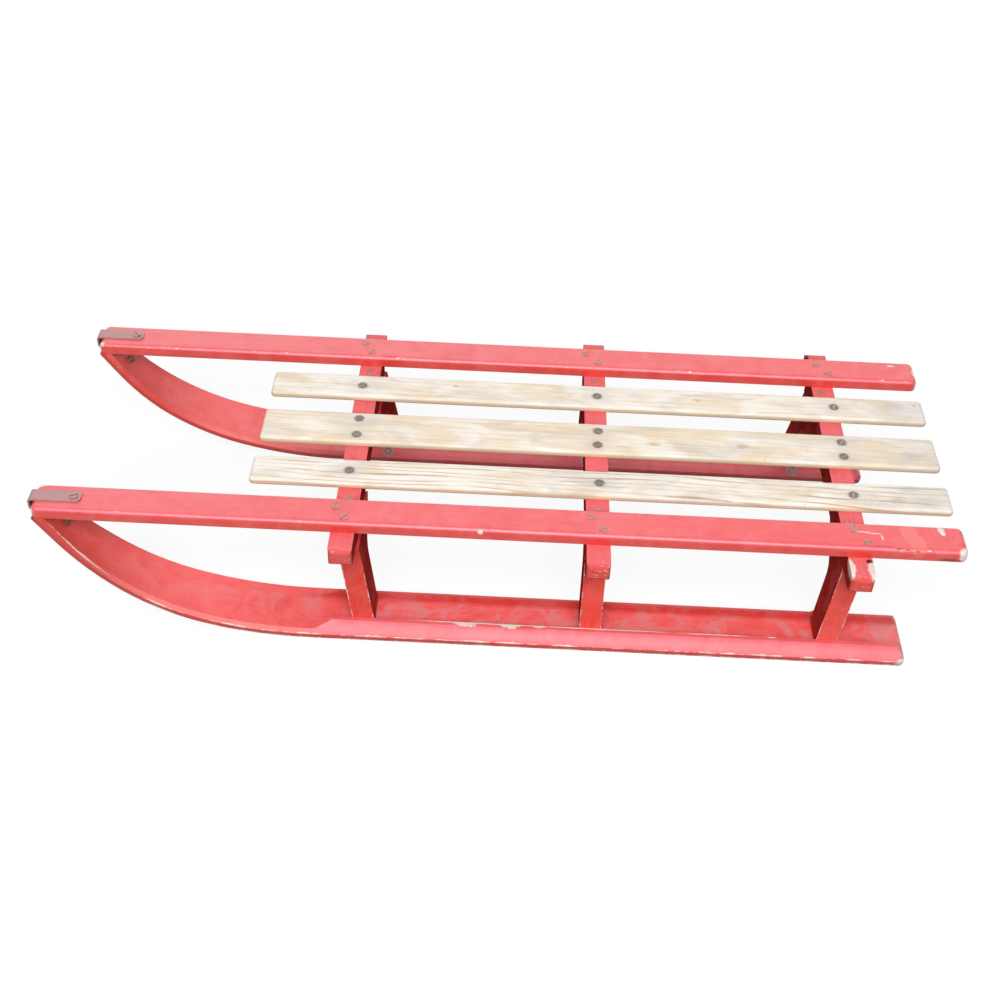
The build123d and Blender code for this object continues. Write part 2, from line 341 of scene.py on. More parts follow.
rail_paint, tree, shader = empty_material("red_enamel_on_rails")
place = node(tree, "TexCoord").outputs["Object"]
axes = node(tree, "SeparateXYZ", {0: place})
across = node(tree, "Math", {0: axes.outputs["Y"]}, operation="ABSOLUTE").outputs[0]
off_centre = node(tree, "Math", {0: across, 1: rail_centre}, operation="SUBTRACT").outputs[0]
off_centre = node(tree, "Math", {0: off_centre}, operation="ABSOLUTE").outputs[0]
from_side = node(tree, "Math", {0: rail_half, 1: off_centre}, operation="SUBTRACT").outputs[0]
from_top = node(tree, "Math", {0: rail_high.z, 1: axes.outputs["Z"]}, operation="SUBTRACT").outputs[0]
from_arris = node(tree, "Math", {0: from_side, 1: from_top}, operation="MAXIMUM").outputs[0]
on_arris = node(tree, "MapRange", {0: from_arris, 1: 0.004, 2: 0.002},
                interpolation_type="SMOOTHSTEP").outputs[0]
lengthways = node(tree, "VectorMath", {0: place, 1: (0.3, 1, 1)}, operation="MULTIPLY").outputs[0]
chips = flecks(tree, lengthways, size=0.003, share=0.10)
chips = node(tree, "Math", {0: on_arris, 1: chips}, operation="MULTIPLY").outputs[0]
torn = ragged_place(tree, place, amount=0.005, grain=0.004)
bare_rail = patches(tree, torn, rail_knocks, soft=0.25)
bare_rail = node(tree, "Math", {0: bare_rail, 1: chips}, operation="MAXIMUM").outputs[0]
dark_rail = patches(tree, torn, rail_scrapes, soft=0.35)
torn = ragged_place(tree, place, amount=0.004, grain=0.02)
fresh_rail = patches(tree, torn, rail_repaint, soft=0.12, most=0.7)
# Painted sheen: the tops' red is paler towards the front.
forward = node(tree, "MapRange", {0: axes.outputs["X"], 1: -0.4, 2: 0.4}).outputs[0]
rail_top_red_and_sheen = node(tree, "Mix", {0: forward, 6: colour("E94448"), 7: colour("E9595E")},
                  data_type="RGBA").outputs[2]
red_enamel(tree, shader, place, "X", bare_rail, dark_rail, fresh_rail, sunned_and_sheen_red=rail_top_red_and_sheen)
shader.inputs["Coat Weight"].default_value = 0.5
shader.inputs["Coat Roughness"].default_value = 0.32
for side in ("left", "right"):
    sled_nodes["rail_" + side].material_slots[0].material = rail_paint
print("rail paint:", rail_paint.name)

# %% [markdown]
# Each crosspiece ends in tongues that stick out past the rails, where boots and walls meet them. The
# left one at the rear is worn bare along both its edges, so that paint is left only along its middle.
# Other tongues have light scuffs, drawn as flecks in the last few millimetres of their length.

# %% Painted crosspieces
bridges = ("rear", "middle", "front")
bridge_x = {where: sum(corner.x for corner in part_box("crosspiece_" + where)) * 500 for where in bridges}
rear_x = bridge_x["rear"]
tongue_knocks = [
    ((rear_x - 12.5, 202, 152), (6.5, 15, 9)), ((rear_x + 13.5, 201, 153), (5.5, 15, 8)),
    ((rear_x + 8, -216, 150), (4, 3, 3)),
]
tongue_dirt = [((rear_x - 10, 189, 155), (4, 3, 4)), ((rear_x + 12, -200, 153), (3, 12, 5))]
scuffs_start, scuffs_full = 0.2075, 0.2125

crosspiece_paint, tree, shader = empty_material("red_enamel_on_crosspieces")
place = node(tree, "TexCoord").outputs["Object"]
torn = ragged_place(tree, place, amount=0.005, grain=0.005)
bare_tongue = patches(tree, torn, tongue_knocks, soft=0.2)
dark_tongue = patches(tree, torn, tongue_dirt, soft=0.4)
across = node(tree, "SeparateXYZ", {0: place}).outputs["Y"]
across = node(tree, "Math", {0: across}, operation="ABSOLUTE").outputs[0]
at_end = node(tree, "MapRange", {0: across, 1: scuffs_start, 2: scuffs_full},
              interpolation_type="SMOOTHSTEP").outputs[0]
streaked = node(tree, "VectorMath", {0: place, 1: (0.3, 1, 1)}, operation="MULTIPLY").outputs[0]
scuffs = flecks(tree, streaked, size=0.002, share=0.15, most=0.5)
scuffs = node(tree, "Math", {0: at_end, 1: scuffs}, operation="MULTIPLY").outputs[0]
bare_tongue = node(tree, "Math", {0: bare_tongue, 1: scuffs}, operation="MAXIMUM").outputs[0]
# Painted sheen: both reds are lighter, to stand in for the sheen that a gloss of 0 leaves out.
red_enamel(tree, shader, place, "Y", bare_tongue, dark_tongue, rubbed=0.4, gloss=0.0,
           shade=colour("EC5E54"), sunned_and_sheen_red=colour("F07477"))
for where in bridges:
    sled_nodes["crosspiece_" + where].material_slots[0].material = crosspiece_paint
print("bridges at", {where: round(x) for where, x in bridge_x.items()})

# %% [markdown]
# The legs are sawn from board and were never rounded, so boots and stones have chipped their sharp
# outer corners. A chip can only be near a corner, so two distances are worked out in nodes: one from
# the sloping outer face, and one from the front or rear face, which leans with the leg. Each bridge
# leans its own way and has its own red, lighter or darker as painted light for where it stands, so
# each has its own material.

# %% Painted legs
leg_leans = {"rear": 0.1317, "middle": 0.0, "front": -0.1584}
# Painted light: each bridge's red is set lighter or darker to match how the light falls on it.
leg_reds_with_painted_light = {"rear": "F26158", "middle": "F8564A", "front": "E94F44"}
half_leg = 0.013
leg_top_outer = 0.174
leg_spread = 0.0147 / 0.111
chip_size, deepest_chip = 0.014, 0.0018

for where, lean in leg_leans.items():
    low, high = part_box(f"leg_{where}_left")
    leg_top_x = low.x + half_leg if lean > 0 else high.x - half_leg
    leg_paint, tree, shader = empty_material(f"red_enamel_on_{where}_legs")
    place = node(tree, "TexCoord").outputs["Object"]
    axes = node(tree, "SeparateXYZ", {0: place})
    drop = node(tree, "Math", {0: high.z, 1: axes.outputs["Z"]}, operation="SUBTRACT").outputs[0]
    axis_x = node(tree, "Math", {0: drop, 1: lean, 2: leg_top_x}, operation="MULTIPLY_ADD").outputs[0]
    off_axis = node(tree, "Math", {0: axes.outputs["X"], 1: axis_x}, operation="SUBTRACT").outputs[0]
    off_axis = node(tree, "Math", {0: off_axis}, operation="ABSOLUTE").outputs[0]
    from_face = node(tree, "Math", {0: half_leg, 1: off_axis}, operation="SUBTRACT").outputs[0]
    across = node(tree, "Math", {0: axes.outputs["Y"]}, operation="ABSOLUTE").outputs[0]
    outer = node(tree, "Math", {0: drop, 1: leg_spread, 2: leg_top_outer},
                 operation="MULTIPLY_ADD").outputs[0]
    from_outer = node(tree, "Math", {0: outer, 1: across}, operation="SUBTRACT").outputs[0]
    from_corner = node(tree, "Math", {0: from_face, 1: from_outer}, operation="MAXIMUM").outputs[0]
    wobble = node(tree, "TexNoise", {"Vector": place, "Scale": 1 / chip_size, "Detail": 5.0,
                                     "Roughness": 0.75}).outputs[0]
    reach = node(tree, "MapRange", {0: wobble, 1: 0.46, 2: 0.72, 4: deepest_chip}).outputs[0]
    chipped = node(tree, "Math", {0: from_corner, 1: reach}, operation="LESS_THAN").outputs[0]
    red_enamel(tree, shader, place, "Z", chipped, gloss=0.0, shade=colour(leg_reds_with_painted_light[where]))
    for side in ("left", "right"):
        sled_nodes[f"leg_{where}_{side}"].material_slots[0].material = leg_paint
    print("leg paint:", leg_paint.name)

# %% [markdown]
# A runner is a board bent up at the front in two arcs, a wide one and then a tighter one, with a
# straight slope up to its tip. Its radii and angles are those of the CAD, and the solids give the tip,
# so the place where the flat sole ends is worked out back from there.

# %% Curve of the runners
tip_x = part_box("rail_left")[1].x
tip_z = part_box("runner_left")[1].z
outer_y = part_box("runner_left")[1].y
first_radius, first_angle = 0.5, radians(16)
second_radius, second_angle = 0.3, radians(52)
lift = first_radius * (1 - cos(first_angle)) + second_radius * (cos(first_angle) - cos(second_angle))
run = first_radius * sin(first_angle) + second_radius * (sin(second_angle) - sin(first_angle))
slope = Vector((cos(second_angle), 0, sin(second_angle)))
flat_end_x = tip_x - run - (tip_z - lift) / slope.z * slope.x
first_centre = Vector((flat_end_x, 0, first_radius))
between = Vector((sin(first_angle), 0, -cos(first_angle))) * (first_radius - second_radius)
second_start_x = flat_end_x + first_radius * sin(first_angle)
bends = [(first_centre, first_radius, flat_end_x), (first_centre + between, second_radius, second_start_x)]
print("flat sole ends at", round(flat_end_x, 4))

# %% [markdown]
# The runners slide and get knocked along their edges, so their wear follows the board. The height
# above the sole is plain Z on the flat, and the distance inside a circle on each of the two bends. The
# distance from the outer edge comes from the arc by which the board is drawn in towards its tip. Both
# are worked out with a few math nodes.

# %% Measures along a runner
runner_paint, tree, shader = empty_material("red_enamel_on_runners")
place = node(tree, "TexCoord").outputs["Object"]
axes = node(tree, "SeparateXYZ", {0: place})
height = axes.outputs["Z"]
in_side_view = node(tree, "VectorMath", {0: place, 1: (1, 0, 1)}, operation="MULTIPLY").outputs[0]
for centre, radius, start_x in bends:
    reach = node(tree, "VectorMath", {0: in_side_view, 1: centre}, operation="DISTANCE").outputs["Value"]
    inside = node(tree, "Math", {0: radius, 1: reach}, operation="SUBTRACT").outputs[0]
    beyond = node(tree, "Math", {0: axes.outputs["X"], 1: start_x}, operation="GREATER_THAN").outputs[0]
    height = node(tree, "Mix", {0: beyond, 2: height, 3: inside}).outputs[0]

taper_length, taper_depth = 0.235, 0.0225
taper_radius = (taper_length ** 2 + taper_depth ** 2) / (2 * taper_depth)
past = node(tree, "Math", {0: axes.outputs["X"], 1: tip_x - taper_length}, operation="SUBTRACT").outputs[0]
past = node(tree, "Math", {0: past, 1: 0.0}, operation="MAXIMUM").outputs[0]
squared = node(tree, "Math", {0: past, 1: past}, operation="MULTIPLY").outputs[0]
drawn_in = node(tree, "Math", {0: squared, 1: 0.5 / taper_radius}, operation="MULTIPLY").outputs[0]
across = node(tree, "Math", {0: axes.outputs["Y"]}, operation="ABSOLUTE").outputs[0]
from_edge = node(tree, "Math", {0: drawn_in, 1: across}, operation="ADD").outputs[0]
from_edge = node(tree, "Math", {0: outer_y, 1: from_edge}, operation="SUBTRACT").outputs[0]
print("runners taper on an arc of radius", round(taper_radius, 3))

# %% [markdown]
# The runner's outer side has two arrises, one under the bevel and one at the sole, and both are rubbed
# bare in broken lines. Towards the tip the rubbed line climbs on to the edge of the board's upper
# face. A stretched noise says how wide each line is from place to place, and where it is missing.

# %% Rubbed edges of the runners
bevel_arris, sole_arris = 0.0064, 0.0008
wear_size, side_reach, bend_reach = 0.009, 0.0018, 0.0013
upper_face = 0.009
stretched = node(tree, "VectorMath", {0: place, 1: (0.25, 1, 0.25)}, operation="MULTIPLY").outputs[0]
wobble = node(tree, "TexNoise", {"Vector": stretched, "Scale": 1 / wear_size, "Detail": 6.0,
                                 "Roughness": 0.75}).outputs[0]
near_tip = node(tree, "MapRange", {0: axes.outputs["X"], 1: 0.40, 2: 0.46}).outputs[0]
before_tip = node(tree, "Math", {0: 1.0, 1: near_tip}, operation="SUBTRACT").outputs[0]
off_arrises = []
for arris in (bevel_arris, sole_arris):
    off_arris = node(tree, "Math", {0: height, 1: arris}, operation="SUBTRACT").outputs[0]
    off_arrises.append(node(tree, "Math", {0: off_arris}, operation="ABSOLUTE").outputs[0])
off_arris = node(tree, "Math", {0: off_arrises[0], 1: off_arrises[1]}, operation="MINIMUM").outputs[0]
reach = node(tree, "MapRange", {0: wobble, 1: 0.46, 2: 0.68, 4: side_reach}).outputs[0]
side_line = node(tree, "Math", {0: off_arris, 1: reach}, operation="LESS_THAN").outputs[0]
at_edge = node(tree, "MapRange", {0: from_edge, 1: 0.0022, 2: 0.0012},
               interpolation_type="SMOOTHSTEP").outputs[0]
side_line = node(tree, "Math", {0: side_line, 1: at_edge}, operation="MULTIPLY").outputs[0]
side_line = node(tree, "Math", {0: side_line, 1: before_tip}, operation="MULTIPLY").outputs[0]

line_place = node(tree, "MapRange", {0: axes.outputs["X"], 1: 0.44, 2: 0.52, 3: 0.0012, 4: 0.0048})
off_line = node(tree, "Math", {0: from_edge, 1: line_place.outputs[0]}, operation="SUBTRACT").outputs[0]
off_line = node(tree, "Math", {0: off_line}, operation="ABSOLUTE").outputs[0]
reach = node(tree, "MapRange", {0: wobble, 1: 0.38, 2: 0.66, 4: bend_reach}).outputs[0]
bend_line = node(tree, "Math", {0: off_line, 1: reach}, operation="LESS_THAN").outputs[0]
upper = node(tree, "Math", {0: height, 1: upper_face}, operation="GREATER_THAN").outputs[0]
bend_line = node(tree, "Math", {0: bend_line, 1: upper}, operation="MULTIPLY").outputs[0]
bend_line = node(tree, "Math", {0: bend_line, 1: near_tip}, operation="MULTIPLY").outputs[0]
print("rubbed lines up to", side_reach * 2000, "mm wide")

# %% [markdown]
# The crest of the lip takes the hardest knocks, where feet step on it. The photograph shows three bare
# patches on the left runner's crest, thin pale lines along it, and a bare rear corner. They are
# ellipsoids again. The largest of all these shares is the bare wood.

# %% Knocks on the runners
runner_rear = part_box("runner_left")[0].x * 1000
runner_knocks = [
    ((32, 190.5, 19.8), (14, 4.2, 4.6)), ((-22, 190.3, 20), (12, 3.8, 4.2)), ((-57, 190, 20), (8, 2.6, 3)),
    ((runner_rear + 2, 204, 4), (12, 5, 5)), ((runner_rear, 198, 9), (2.5, 8, 8)),
    ((runner_rear + 1, 176, 11), (3, 3, 3)), ((runner_rear + 2, 150, 16), (5, 5, 4)),
    ((-340, 189.5, 20.5), (5, 1.2, 1.5)), ((-30, -147, 20.5), (8, 1.2, 1.5)),
    ((runner_rear, -185, 12), (3, 10, 6)), ((runner_rear, -150, 12), (3, 8, 6)),
    ((516, -141, 137), (2, 6, 3)),
]
crest_lines = [((10, 189.4, 20.5), (78, 1.2, 1.3)), ((-135, 189.4, 20.5), (72, 1.1, 1.2)),
               ((-270, 189.4, 20.5), (40, 0.9, 1.0))]
torn = ragged_place(tree, place, amount=0.005, grain=0.004)
knocked = patches(tree, torn, runner_knocks, soft=0.25)
torn = ragged_place(tree, place, amount=0.0025, grain=0.008)
crest = patches(tree, torn, crest_lines, soft=0.3)
bare_runner = side_line
for share in (bend_line, knocked, crest):
    bare_runner = node(tree, "Math", {0: bare_runner, 1: share}, operation="MAXIMUM").outputs[0]
print("runner knocks:", len(runner_knocks))

# %% [markdown]
# Dirt gathers low on the sides and along the edge of the bend, and the sole is scoured dark. The inner
# corner of the groove and the part under the rail are darkened as painted shade. Each is a share
# between 0 and 1, found from the same measures, and the largest of them is used.

# %% Dirt and painted shade on the runners
groove_wall_y, scour_size = 0.147, 0.014
on_flat = node(tree, "MapRange", {0: axes.outputs["X"], 1: flat_end_x + 0.03, 2: flat_end_x - 0.02})
on_flat = on_flat.outputs[0]
low_side = node(tree, "MapRange", {0: height, 1: 0.0052, 2: 0.0034, 4: 0.3},
                interpolation_type="SMOOTHSTEP").outputs[0]
scoured = node(tree, "TexNoise", {"Vector": stretched, "Scale": 1 / scour_size, "Detail": 4.0}).outputs[0]
scoured = node(tree, "MapRange", {0: scoured, 1: 0.35, 2: 0.65, 3: 0.2, 4: 0.85}).outputs[0]
sole = node(tree, "MapRange", {0: height, 1: 0.0009, 2: 0.0004}).outputs[0]
sole = node(tree, "Math", {0: sole, 1: scoured}, operation="MULTIPLY").outputs[0]
# Painted shade: a darker band along the foot of the groove's inner wall.
off_wall = node(tree, "Math", {0: across, 1: groove_wall_y}, operation="SUBTRACT").outputs[0]
off_wall = node(tree, "Math", {0: off_wall}, operation="ABSOLUTE").outputs[0]
painted_shade_in_corner = node(tree, "MapRange", {0: off_wall, 1: 0.006, 2: 0.001, 4: 0.35},
                 interpolation_type="SMOOTHSTEP").outputs[0]
painted_shade_in_corner = node(tree, "Math", {0: painted_shade_in_corner, 1: on_flat}, operation="MULTIPLY").outputs[0]
bend_edge = node(tree, "MapRange", {0: from_edge, 1: 0.0055, 2: 0.0040, 4: 0.3},
                 interpolation_type="SMOOTHSTEP").outputs[0]
bend_edge = node(tree, "Math", {0: bend_edge, 1: near_tip}, operation="MULTIPLY").outputs[0]
# Painted shade: the runner darkens towards the tip, under the rail.
painted_shade_under_rail = node(tree, "MapRange", {0: axes.outputs["X"], 1: 0.34, 2: 0.48, 4: 0.16}).outputs[0]
dirt_and_painted_shade = low_side
for share in (sole, painted_shade_in_corner, bend_edge, painted_shade_under_rail):
    dirt_and_painted_shade = node(tree, "Math", {0: dirt_and_painted_shade, 1: share}, operation="MAXIMUM").outputs[0]
print("groove wall at", groove_wall_y, "m")

# %% [markdown]
# On the flat part of the runner, the floor of the groove is the cloudiest, and the bevels of the lips
# carry a painted pink highlight, the inner ones most, where it is also a painted light in place of their
# shade. The paler red of the groove floor is a painted sheen that also lightens the lip's shadow there.
# The real bevels are a little crowned, which puts a soft highlight along them, but the solid's are flat.
# A second bump, a shallow curve across the bevel with its height in metres, rounds the shading there, so
# the highlight still comes from the lights.

# %% Painted runners
half_board = 0.039
floor_ends, wall_starts = 0.0195, 0.0215
off_middle = node(tree, "Math", {0: from_edge, 1: half_board}, operation="SUBTRACT").outputs[0]
off_middle = node(tree, "Math", {0: off_middle}, operation="ABSOLUTE").outputs[0]
cloudy = node(tree, "MapRange", {0: axes.outputs["X"], 1: 0.15, 2: 0.4, 3: 1.0, 4: 0.25}).outputs[0]
in_groove = node(tree, "MapRange", {0: off_middle, 1: floor_ends, 2: wall_starts, 3: 1.0, 4: 0.25})
cloudy = node(tree, "Math", {0: cloudy, 1: in_groove.outputs[0]}, operation="MULTIPLY").outputs[0]
on_inner = node(tree, "MapRange", {0: from_edge, 1: 0.055, 2: 0.06}).outputs[0]
# Painted highlight: the lip bevels get a pinker red, stronger and brighter on the inner lips.
painted_highlight = node(tree, "MapRange", {0: on_inner, 3: 0.65, 4: 1.25}).outputs[0]
painted_highlight = node(tree, "Math", {0: on_flat, 1: painted_highlight}, operation="MULTIPLY").outputs[0]
painted_highlight_pink = node(tree, "Mix", {0: on_inner, 6: colour("EC6C83"), 7: colour("FF5F68")}, data_type="RGBA")
# Painted sheen: the runners' top red F8605F is lighter, and also lightens the lip's shadow on the groove
# floor.
normal = red_enamel(tree, shader, place, "X", bare_runner, dirt_and_painted_shade, rubbed=painted_highlight, cloudy=cloudy,
                    sunned_and_sheen_red=colour("F8605F"), painted_highlight_pink=painted_highlight_pink.outputs[2])

crest_off_middle, crown_steepness = 0.024, -20.0
off_crown = node(tree, "MapRange", {0: off_middle, 1: crest_off_middle, 2: half_board, 3: -0.011, 4: 0.004})
off_crown = off_crown.outputs[0]
crown = node(tree, "Math", {0: off_crown, 1: off_crown}, operation="MULTIPLY").outputs[0]
crown = node(tree, "Math", {0: crown, 1: crown_steepness}, operation="MULTIPLY").outputs[0]
on_lip = node(tree, "MapRange", {0: axes.outputs["X"], 1: 0.205, 2: 0.185}).outputs[0]
crown = node(tree, "Math", {0: crown, 1: on_lip}, operation="MULTIPLY").outputs[0]
crowned = node(tree, "Bump", {"Height": crown, "Strength": 1.0, "Distance": 1.0, "Normal": normal})
tree.links.new(crowned.outputs[0], shader.inputs["Normal"])
for side in ("left", "right"):
    sled_nodes["runner_" + side].material_slots[0].material = runner_paint
print("runner paint:", runner_paint.name)

# %% [markdown]
# The slats are bare pine, planed and then left to the weather. Growth rings run along a flat-sawn
# board as long lines nearly a centimetre apart that wander slowly. A wave texture could draw them, but
# a sine of the distance across the board, pushed about by a noise, is easier to bend along its length.
# Clouds of cream, tan and grey lie under the lines. The centre slat is browner, and the left one shows
# its rings the most.

# %% Rings and clouds of the pine
ring_spacing, wander_size, cloud_size = 0.0088, 0.03, 0.026
pine, tree, shader = empty_material("weathered_planed_pine")
place = node(tree, "TexCoord").outputs["Object"]
axes = node(tree, "SeparateXYZ", {0: place})
slow = node(tree, "VectorMath", {0: place, 1: (0.4, 1.0, 1.0)}, operation="MULTIPLY").outputs[0]
clouds = node(tree, "TexNoise", {"Vector": slow, "Scale": 1 / cloud_size, "Detail": 3.5,
                                 "Roughness": 0.55, "Distortion": 0.7})
tones = node(tree, "SeparateColor", {0: clouds.outputs["Color"]})
off_centre = node(tree, "Math", {0: axes.outputs["Y"]}, operation="ABSOLUTE").outputs[0]
browner = node(tree, "MapRange", {0: off_centre, 1: 0.045, 2: 0.04, 4: 0.09}).outputs[0]
warm = node(tree, "Math", {0: tones.outputs[0], 1: browner}, operation="ADD").outputs[0]
warm = node(tree, "MapRange", {0: warm, 1: 0.4, 2: 0.72}, interpolation_type="SMOOTHSTEP").outputs[0]
greyed = node(tree, "MapRange", {0: tones.outputs[1], 1: 0.45, 2: 0.72, 4: 0.65},
              interpolation_type="SMOOTHSTEP").outputs[0]

winding = node(tree, "VectorMath", {0: place, 1: (0.12, 1.0, 1.0)}, operation="MULTIPLY").outputs[0]
wander = node(tree, "TexNoise", {"Vector": winding, "Scale": 1 / wander_size, "Detail": 1.5,
                                 "Roughness": 0.5})
ringed = node(tree, "Math", {0: wander.outputs[0], 1: 0.034, 2: axes.outputs["Y"]},
              operation="MULTIPLY_ADD").outputs[0]
ringed = node(tree, "Math", {0: axes.outputs["X"], 1: 0.028, 2: ringed}, operation="MULTIPLY_ADD")
phase = node(tree, "Math", {0: ringed.outputs[0], 1: 2 * pi / ring_spacing}, operation="MULTIPLY")
rings = node(tree, "Math", {0: phase.outputs[0]}, operation="SINE").outputs[0]
lines = node(tree, "MapRange", {0: rings, 1: 0.6, 2: 1.0}, interpolation_type="SMOOTHSTEP").outputs[0]
broken = node(tree, "MapRange", {0: tones.outputs[2], 1: 0.36, 2: 0.6, 3: 0.2}).outputs[0]
lines = node(tree, "Math", {0: lines, 1: broken}, operation="MULTIPLY").outputs[0]
on_left = node(tree, "MapRange", {0: axes.outputs["Y"], 1: 0.04, 2: 0.06, 3: 0.28, 4: 1.0}).outputs[0]
lines = node(tree, "Math", {0: lines, 1: on_left}, operation="MULTIPLY").outputs[0]
print("rings", ring_spacing * 1000, "mm apart")

# %% [markdown]
# Where a screw goes through, the wet has greyed the wood and the steel has left a ring of rust. The
# rear ends are grey too, and a few blue-grey stains and brown knots show. All of these are ellipsoids
# on the top face, as the knocks in the paint are.

# %% Knots and stains of the slats
knots = [((-301, 3.7, 165), (7, 4.5, 8)), ((-250, -86, 165), (5, 3, 8)), ((62, -92, 165), (4, 2.5, 8)),
         ((-478, 92, 165), (10, 5, 8)), ((-190, 8, 165), (7, 3, 8))]
blue_stains = [((-512, 93, 165), (16, 10, 10)), ((-496, 70, 165), (11, 5, 10)),
               ((-455, 101, 165), (22, 5, 10)), ((-505, -92, 165), (14, 7, 10)),
               ((-508, 8, 165), (12, 9, 10))]
slat_screws = [
    (180, 84), (-121, 85.5), (-426, 85.5), (179, -16), (179, 15.5), (-121, -13), (-120, 14),
    (-426, -13.5), (-425, 14), (182, -84), (-121, -84.5), (-426.5, -85),
]
grey_places = [((x, y, 165), (22, 14, 12)) for x, y in slat_screws]
grey_places += [((-560, y, 160), (85, 40, 20)) for y in (-85, 0, 85)]
rust_places = [((x, y, 165), (7.5, 7, 9)) for x, y in slat_screws]
print("pine knots:", len(knots), "stained screws:", len(slat_screws))

# %% [markdown]
# A fine fibre lies between the rings, dark in places and bleached in others. Real fibres are too thin
# to show at this size, so these are drawn nearly two millimetres wide. Below the top face the wood is
# more yellow. Every tint is laid over the last, from the cream of clean pine. Bare wood is rough, so it
# has only a faint sheen.

# %% Weathered pine slats
fibre_width = 0.0018
along_slat = node(tree, "VectorMath", {0: place, 1: (0.03, 1.0, 1.0)}, operation="MULTIPLY").outputs[0]
fibre = node(tree, "TexNoise", {"Vector": along_slat, "Scale": 1 / fibre_width, "Detail": 5.0,
                                "Roughness": 0.6}).outputs[0]
fibred = node(tree, "MapRange", {0: fibre, 1: 0.5, 2: 0.78, 4: 0.35}).outputs[0]
bleached = node(tree, "MapRange", {0: fibre, 1: 0.45, 2: 0.25, 4: 0.4}).outputs[0]
lower = node(tree, "MapRange", {0: axes.outputs["Z"], 1: 0.1636, 2: 0.1605, 4: 0.75},
             interpolation_type="SMOOTHSTEP").outputs[0]
specks = flecks(tree, place, size=0.0045, share=0.03, most=0.6)
torn = ragged_place(tree, place, amount=0.008, grain=0.006)
knotted = patches(tree, torn, knots, soft=0.7, most=0.6)
torn = ragged_place(tree, place, amount=0.03, grain=0.03)
grey = patches(tree, torn, grey_places, soft=0.6, most=0.4)
torn = ragged_place(tree, place, amount=0.014, grain=0.012)
blue = patches(tree, torn, blue_stains, soft=0.6, most=0.35)
torn = ragged_place(tree, place, amount=0.003, grain=0.006)
rusty = patches(tree, torn, rust_places, soft=0.3, most=0.5)
tints = [(warm, "F0DCBE"), (greyed, "D9CEC4"), (lines, "BCA68A"), (fibred, "CDBBA4"),
         (bleached, "FAF6F0"), (lower, "DABE98"), (knotted, "C9A37A"), (specks, "A98C68"),
         (grey, "D2CBC6"), (blue, "B8B6BA"), (rusty, "9A8C80")]
wood = colour("FCF5EB")
for share, tint in tints:
    wood = node(tree, "Mix", {0: share, 6: wood, 7: colour(tint)}, data_type="RGBA").outputs[2]
bump = node(tree, "Bump", {"Height": fibre, "Strength": 0.35, "Distance": 0.0003})
tree.links.new(wood, shader.inputs["Base Color"])
tree.links.new(bump.outputs[0], shader.inputs["Normal"])
shader.inputs["Roughness"].default_value = 0.65
shader.inputs["IOR"].default_value = 1.45
shader.inputs["Specular IOR Level"].default_value = 0.3
for name in ("left", "centre", "right"):
    sled_nodes["slat_" + name].material_slots[0].material = pine
print("slat wood:", pine.name)

# %% [markdown]
# The front straps are mild steel, once painted with the rest. The paint has worn to a thin pinkish
# film and brown steel shows through it, so a noise mixes a rough metal with a rough paint. The screws
# in the slats are plain steel gone dull and brown. Those in the rails were painted over, and so were
# the bolts at the feet.

# %% Worn steel
def worn_steel(name, metal, film, size):
    """Makes dull steel with a film of another colour left on half of it, in patches of a size."""
    material, tree, shader = empty_material(name)
    place = node(tree, "TexCoord").outputs["Object"]
    noise = node(tree, "TexNoise", {"Vector": place, "Scale": 1 / size, "Detail": 4.0, "Roughness": 0.65})
    left = node(tree, "MapRange", {0: noise.outputs[0], 1: 0.3, 2: 0.7},
                interpolation_type="SMOOTHSTEP").outputs[0]
    skin = node(tree, "Mix", {0: left, 6: colour(metal), 7: colour(film)}, data_type="RGBA").outputs[2]
    rough = node(tree, "MapRange", {0: left, 3: 0.45, 4: 0.6}).outputs[0]
    bare = node(tree, "MapRange", {0: left, 3: 0.75, 4: 0.1}).outputs[0]
    bump = node(tree, "Bump", {"Height": noise.outputs[0], "Strength": 0.15, "Distance": 0.0002})
    tree.links.new(skin, shader.inputs["Base Color"])
    tree.links.new(rough, shader.inputs["Roughness"])
    tree.links.new(bare, shader.inputs["Metallic"])
    tree.links.new(bump.outputs[0], shader.inputs["Normal"])
    return material


strap_steel = worn_steel("worn_painted_mild_steel", metal="A07E7B", film="B88C8A", size=0.02)
screw_steel = worn_steel("dull_screw_steel", metal="857A70", film="6A5D53", size=0.003)
painted_steel = worn_steel("screw_steel_under_paint", metal="A0857E", film="BA7C7A", size=0.003)
bolt_steel = worn_steel("brown_bolt_steel", metal="8A6A60", film="965850", size=0.004)
for side in ("left", "right"):
    sled_nodes["strap_" + side].material_slots[0].material = strap_steel
print("steels:", strap_steel.name, screw_steel.name, painted_steel.name, bolt_steel.name)

# %% [markdown]
# Slotted wood screws hold the slats and rails. A head starts as a filled circle. Insetting lifts its
# rim into a bevel, two cuts mark the slot, and the strip between them is pushed down. The rim is then
# drawn down into the wood. Each head is copied to its place with its own turn of the slot, as no two
# screws stop alike.

